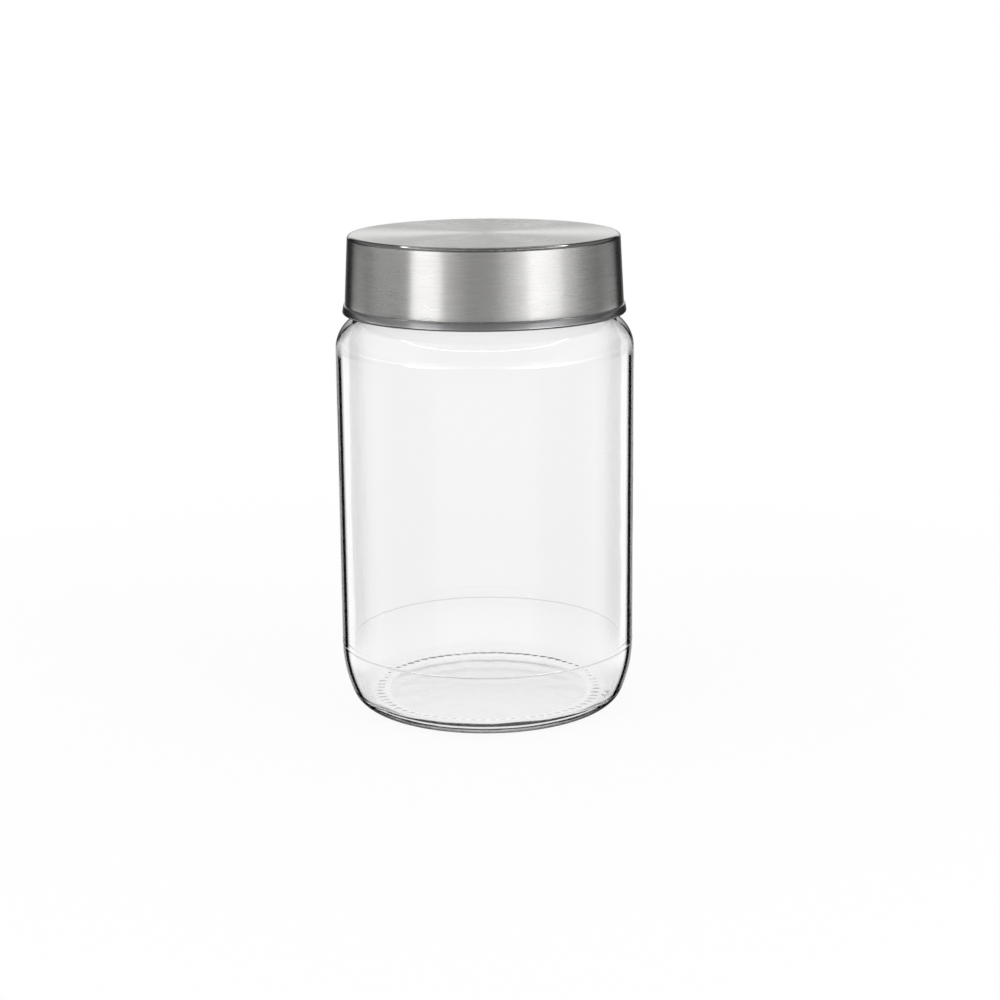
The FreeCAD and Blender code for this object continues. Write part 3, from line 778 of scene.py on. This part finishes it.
def brushed_steel(cover):
    """Stainless steel brushed in circles: fine lines round the axis vary its colour, roughness and normal,
    and its highlights spread across them. The round top edge is smoother, and its colour is darkened there as
    painted shade for the dark line that the edge reflects."""
    material, nodes, surface = finish("brushed_cover")
    place = nodes.place()
    radius, height = nodes.radius(place), nodes.height(place)
    heading = nodes.vector("NORMALIZE", nodes.vector("MULTIPLY", place, (1.0, 1.0, 0.0)))
    run = nodes.sum("SUBTRACT", radius, height)

    def lines(around, across, detail):
        """Noise stretched round the axis: slow with the heading, fast across the brushing."""
        slow = nodes.vector("MULTIPLY", heading, (around, around, 0.0))
        fast = nodes.add("ShaderNodeCombineXYZ", {"Z": nodes.sum("MULTIPLY", run, across)}).outputs["Vector"]
        return nodes.noise(nodes.vector("ADD", slow, fast), 1.0, detail, 0.6)

    fine = lines(7.0, 4200.0, 3.0)
    broad = lines(3.0, 900.0, 2.0)
    cloud = nodes.noise(place, 45.0, 3.0)
    grain = nodes.sum("ADD", nodes.sum("MULTIPLY", fine, 0.65), nodes.sum("MULTIPLY", broad, 0.35))
    tint = nodes.mottle(grain, 0.18, cover.steel, 0.86, 1.12)
    rough = nodes.sum(
        "ADD", nodes.spread(grain, 0.3, 0.7, 0.255, 0.325), nodes.spread(cloud, 0.35, 0.65, -0.015, 0.015)
    )
    # The round top edge: smoother, and its colour darkened as painted shade for the dark line that it
    # reflects.
    top_radius, reach = cover.foot_radius - cover.flare, cover.edge_round
    near_side = nodes.spread(radius, top_radius - reach, top_radius - 0.8 * reach, 0.0, 1.0)
    near_top = nodes.spread(height, cover.top_level - reach, cover.top_level - 0.8 * reach, 0.0, 1.0)
    edge = nodes.spread(nodes.sum("MINIMUM", near_side, near_top), 0.0, 1.0, 1.0, cover.edge_smooth_and_shade)
    rough = nodes.sum("MULTIPLY", rough, edge)
    tint = nodes.vector("MULTIPLY", tint, edge)
    nodes.feed(surface, {
        "Base Color": tint,
        "Metallic": 1.0,
        "Roughness": rough,
        "Anisotropic": 0.88,
        "Anisotropic Rotation": 0.25,
        "Tangent": nodes.add("ShaderNodeTangent", direction_type="RADIAL", axis="Z").outputs["Tangent"],
        "Normal": nodes.bump(grain, 0.00002, 0.08),
    })
    return material


def grey_plastic(cap):
    """Dark grey moulded plastic with a metallic lustre: faint flow marks and a fine moulded texture."""
    material, nodes, surface = finish("grey_plastic")
    place = nodes.place()
    flow = nodes.noise(nodes.vector("MULTIPLY", place, (1.0, 1.0, 4.0)), 60.0, 3.0)
    texture = nodes.noise(place, 2600.0, 2.0)
    nodes.feed(surface, {
        "Base Color": nodes.mottle(flow, 0.15, cap.plastic, 0.9, 1.08),
        "Metallic": 0.92,
        "Roughness": nodes.spread(texture, 0.3, 0.7, 0.12, 0.19),
        "IOR": 1.5,
        "Normal": nodes.bump(texture, 0.00001, 0.2),
    })
    return material


def pale_liner(liner, glass):
    """Pale foam: closed cells, small shade changes and the ring where the rim presses."""
    material, nodes, surface = finish("pale_liner")
    place = nodes.place()
    cells = nodes.add("ShaderNodeTexVoronoi", {"Vector": place, "Scale": 1500.0}).outputs["Distance"]
    patches = nodes.noise(place, 90.0, 3.0)
    middle = glass.radius - glass.shoulder_inset - glass.wall / 2
    off = nodes.sum("ABSOLUTE", nodes.sum("SUBTRACT", nodes.radius(place), middle))
    pressed = nodes.spread(off, 0.3 * glass.wall, 0.6 * glass.wall, 1.0, 0.0, smooth=True)
    tint = nodes.mottle(patches, 0.2, liner.foam, 0.93, 1.05)
    tint = nodes.blend(nodes.sum("MULTIPLY", pressed, 0.25), tint, shaded(liner.foam, 0.7))
    relief = nodes.sum("SUBTRACT", cells, nodes.sum("MULTIPLY", pressed, 2.0))
    nodes.feed(surface, {
        "Base Color": tint,
        "Roughness": nodes.spread(cells, 0.0, 0.6, 0.85, 0.65),
        "Normal": nodes.bump(relief, 0.0001, 0.5),
    })
    return material


def place_piece(piece, material, body, node):
    """Gives a piece its material and its body, and hides the solid that it stands for."""
    piece.data.materials.append(material)
    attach(piece, body)
    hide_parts(node)


def studio_world(stage):
    """Plain studio round the jar. Seen directly or through glass it is white. Metal and gloss show the sum of
    the lights listed at the top, each the product of its level round the jar and its level upward."""
    world = bpy.data.worlds.new("studio")
    bpy.context.scene.world = world
    world.use_nodes = True
    nodes = Nodes(world.node_tree)
    direction = nodes.add("ShaderNodeTexCoord").outputs["Generated"]
    axes = nodes.add("ShaderNodeSeparateXYZ", {"Vector": direction}).outputs
    aside = nodes.sum("ARCTAN2", axes["X"], nodes.sum("MULTIPLY", axes["Y"], -1.0))
    aside = nodes.sum("MULTIPLY_ADD", aside, 1 / FULL_TURN, 0.5)
    rise = nodes.sum("MULTIPLY_ADD", axes["Z"], 0.5, 0.5)

    def glow(round_jar, upward, strength):
        """Light that varies round the jar and with the height above the horizon."""
        around = nodes.ramp(aside, [(0.5 + degrees / 360, grey) for degrees, grey in round_jar])
        above = nodes.ramp(rise, [(0.5 + height / 2, grey) for height, grey in upward])
        return nodes.vector("MULTIPLY", nodes.vector("MULTIPLY", around, above), [strength] * 3)

    lights = (
        glow(ROOM, ROOM_RISE, stage.room_light),
        glow(HORIZON, HORIZON_RISE, stage.room_light),
        glow(CEILING, CEILING_RISE, stage.room_light),
        glow(TABLE, TABLE_RISE, stage.table_light),
        glow(PANELS, PANEL_RISE, stage.panel_light),
        glow(STRIP, STRIP_RISE, stage.strip_light),
    )
    room = lights[0]
    for light in lights[1:]:
        room = nodes.vector("ADD", room, light)
    tint = nodes.blend(nodes.seen(), room, WHITE)
    nodes.feed(world.node_tree.nodes["Background"], {"Color": tint, "Strength": 1.0})


def studio_floor(stage):
    """Pale round floor: plain white that takes the jar's shadow near it, and pure white further out."""
    rings = np.linspace(0.0, 1.0, FLOOR_RINGS + 1)[1:, None] ** 1.5 * stage.floor_radius
    turns = angles(FLOOR_SEGMENTS)
    heights = np.full((FLOOR_RINGS, FLOOR_SEGMENTS), -stage.floor_gap)
    points = np.stack([rings * np.cos(turns), rings * np.sin(turns), heights], axis=2)
    index = 1 + np.arange(FLOOR_RINGS * FLOOR_SEGMENTS).reshape(FLOOR_RINGS, FLOOR_SEGMENTS)
    beside = np.roll(index, -1, axis=1)
    quads = np.stack([index[:-1], index[1:], beside[1:], beside[:-1]], axis=2).reshape(-1, 4)
    fan = np.stack([np.zeros_like(index[0]), index[0], beside[0]], axis=1)
    mesh = bpy.data.meshes.new("studio_floor")
    mesh.from_pydata(
        np.concatenate([[[0.0, 0.0, -stage.floor_gap]], points.reshape(-1, 3)]), [],
        quads.tolist() + fan.tolist(),
    )
    floor = bpy.data.objects.new("studio_floor", mesh)
    floor.visible_glossy = False
    bpy.context.scene.collection.objects.link(floor)

    material, nodes, surface = finish("pale_floor")
    reach = nodes.vector("LENGTH", nodes.place())
    far = nodes.spread(reach, 0.25 * stage.floor_radius, 0.9 * stage.floor_radius, 0.0, 1.0, smooth=True)
    glow = nodes.sum("MULTIPLY", nodes.seen(), nodes.spread(far, 0.0, 1.0, stage.floor_glow, 1.0))
    white = nodes.add("ShaderNodeEmission", {"Color": WHITE, "Strength": 1.0})
    nodes.feed(surface, {"Base Color": opaque(stage.floor_white), "Roughness": 0.9})
    mixed = nodes.add("ShaderNodeMixShader", {
        0: glow, 1: surface.outputs["BSDF"], 2: white.outputs["Emission"],
    })
    nodes.feed(material.node_tree.nodes["Material Output"], {"Surface": mixed.outputs["Shader"]})
    mesh.materials.append(material)


def softbox(name, place, width, strength):
    """A rectangular soft light that faces the jar. Its power is four times its strength times its area."""
    light = bpy.data.lights.new(name, "AREA")
    light.shape = "RECTANGLE"
    light.size = width
    light.size_y = SOFTBOX_HEIGHT
    light.energy = strength * 4 * width * SOFTBOX_HEIGHT
    lamp = bpy.data.objects.new(name, light)
    lamp.location = place
    lamp.rotation_euler = (Vector(SOFTBOX_AIM) - Vector(place)).to_track_quat("-Z", "Y").to_euler()
    lamp.visible_camera = False
    lamp.visible_transmission = False
    lamp.visible_glossy = False
    bpy.context.scene.collection.objects.link(lamp)


def studio_camera(stage):
    """The camera at the photograph's height, distance and tilt."""
    data = bpy.data.cameras.new("camera")
    data.lens = stage.lens
    data.sensor_width = SENSOR_WIDTH
    camera = bpy.data.objects.new("camera", data)
    tilt = Euler((QUARTER - stage.pitch, 0.0, -stage.yaw)).to_matrix()
    turn = tilt @ Matrix.Rotation(stage.roll, 3, "Z")
    camera.matrix_world = Matrix.Translation((0.0, -stage.camera_back, stage.camera_rise)) @ turn.to_4x4()
    bpy.context.scene.collection.objects.link(camera)
    bpy.context.scene.camera = camera


class STORAGE_JAR_OT_glass(bpy.types.Operator):
    """Builds the glass jar with its lugs, knurled bearing ring and heel seam"""

    bl_idname = "storage_jar.glass"
    bl_label = "Glass jar"

    def execute(self, context):
        scene = context.scene
        piece = glass_surface(scene.jar_glass, scene.jar_lugs)
        place_piece(piece, clear_glass(scene.jar_glass), "jar", "glass_jar")
        return {"FINISHED"}


class STORAGE_JAR_OT_liner(bpy.types.Operator):
    """Builds the sealing liner under the cap's panel"""

    bl_idname = "storage_jar.liner"
    bl_label = "Sealing liner"

    def execute(self, context):
        scene = context.scene
        material = pale_liner(scene.jar_liner, scene.jar_glass)
        place_piece(liner_surface(scene.jar_liner), material, "liner", "cap_liner")
        return {"FINISHED"}


class STORAGE_JAR_OT_cap(bpy.types.Operator):
    """Builds the plastic cap with its lugs, liner bead and flange"""

    bl_idname = "storage_jar.cap"
    bl_label = "Plastic cap"

    def execute(self, context):
        scene = context.scene
        piece = cap_surface(scene.jar_cap, scene.jar_cover, scene.jar_glass, scene.jar_lugs)
        place_piece(piece, grey_plastic(scene.jar_cap), "lid", "screw_cap")
        return {"FINISHED"}


class STORAGE_JAR_OT_cover(bpy.types.Operator):
    """Builds the brushed steel cover over the cap"""

    bl_idname = "storage_jar.cover"
    bl_label = "Steel cover"

    def execute(self, context):
        cover = context.scene.jar_cover
        place_piece(cover_surface(cover), brushed_steel(cover), "lid", "steel_cover")
        return {"FINISHED"}


class STORAGE_JAR_OT_stage(bpy.types.Operator):
    """Sets up the pale floor, the soft lights and the camera"""

    bl_idname = "storage_jar.stage"
    bl_label = "Stage"

    def execute(self, context):
        stage = context.scene.jar_stage
        context.scene.view_settings.view_transform = "Standard"
        context.scene.cycles.max_bounces = GLASS_BOUNCES
        context.scene.cycles.glossy_bounces = GLOSSY_BOUNCES
        context.scene.cycles.transmission_bounces = GLASS_BOUNCES
        studio_world(stage)
        studio_floor(stage)
        for name, place, width in SOFTBOXES:
            softbox(name, place, width, stage.side_light)
        studio_camera(stage)
        return {"FINISHED"}


class STORAGE_JAR_PT_sidebar(bpy.types.Panel):
    """Lists the jar's pieces and the stage"""

    bl_label = "Storage jar"
    bl_idname = "STORAGE_JAR_PT_sidebar"
    bl_space_type = "VIEW_3D"
    bl_region_type = "UI"
    bl_category = "Storage jar"

    def draw(self, context):
        for operator, groups in PANEL_ROWS:
            box = self.layout.box()
            box.operator(operator.bl_idname, text=operator.bl_label)
            for settings in (getattr(context.scene, group) for group in groups):
                for name in type(settings).__annotations__:
                    box.prop(settings, name)


GROUPS = {
    "jar_glass": GlassSettings,
    "jar_lugs": LugSettings,
    "jar_cap": CapSettings,
    "jar_cover": CoverSettings,
    "jar_liner": LinerSettings,
    "jar_stage": StageSettings,
}
PANEL_ROWS = (
    (STORAGE_JAR_OT_glass, ("jar_glass", "jar_lugs")),
    (STORAGE_JAR_OT_liner, ("jar_liner",)),
    (STORAGE_JAR_OT_cap, ("jar_cap",)),
    (STORAGE_JAR_OT_cover, ("jar_cover",)),
    (STORAGE_JAR_OT_stage, ("jar_stage",)),
)
CLASSES = (*GROUPS.values(), *(operator for operator, _ in PANEL_ROWS), STORAGE_JAR_PT_sidebar)


def register():
    """Registers the classes and hangs their settings on the scene."""
    for entry in CLASSES:
        bpy.utils.register_class(entry)
    for name, group in GROUPS.items():
        setattr(bpy.types.Scene, name, PointerProperty(type=group))


def unregister():
    """Takes the settings and the classes away again."""
    for name in GROUPS:
        delattr(bpy.types.Scene, name)
    for entry in reversed(CLASSES):
        bpy.utils.unregister_class(entry)


def main():
    """Builds the pieces and the stage in order."""
    register()
    bpy.ops.storage_jar.glass()
    bpy.ops.storage_jar.liner()
    bpy.ops.storage_jar.cap()
    bpy.ops.storage_jar.cover()
    bpy.ops.storage_jar.stage()


if __name__ == "__main__":
    main()
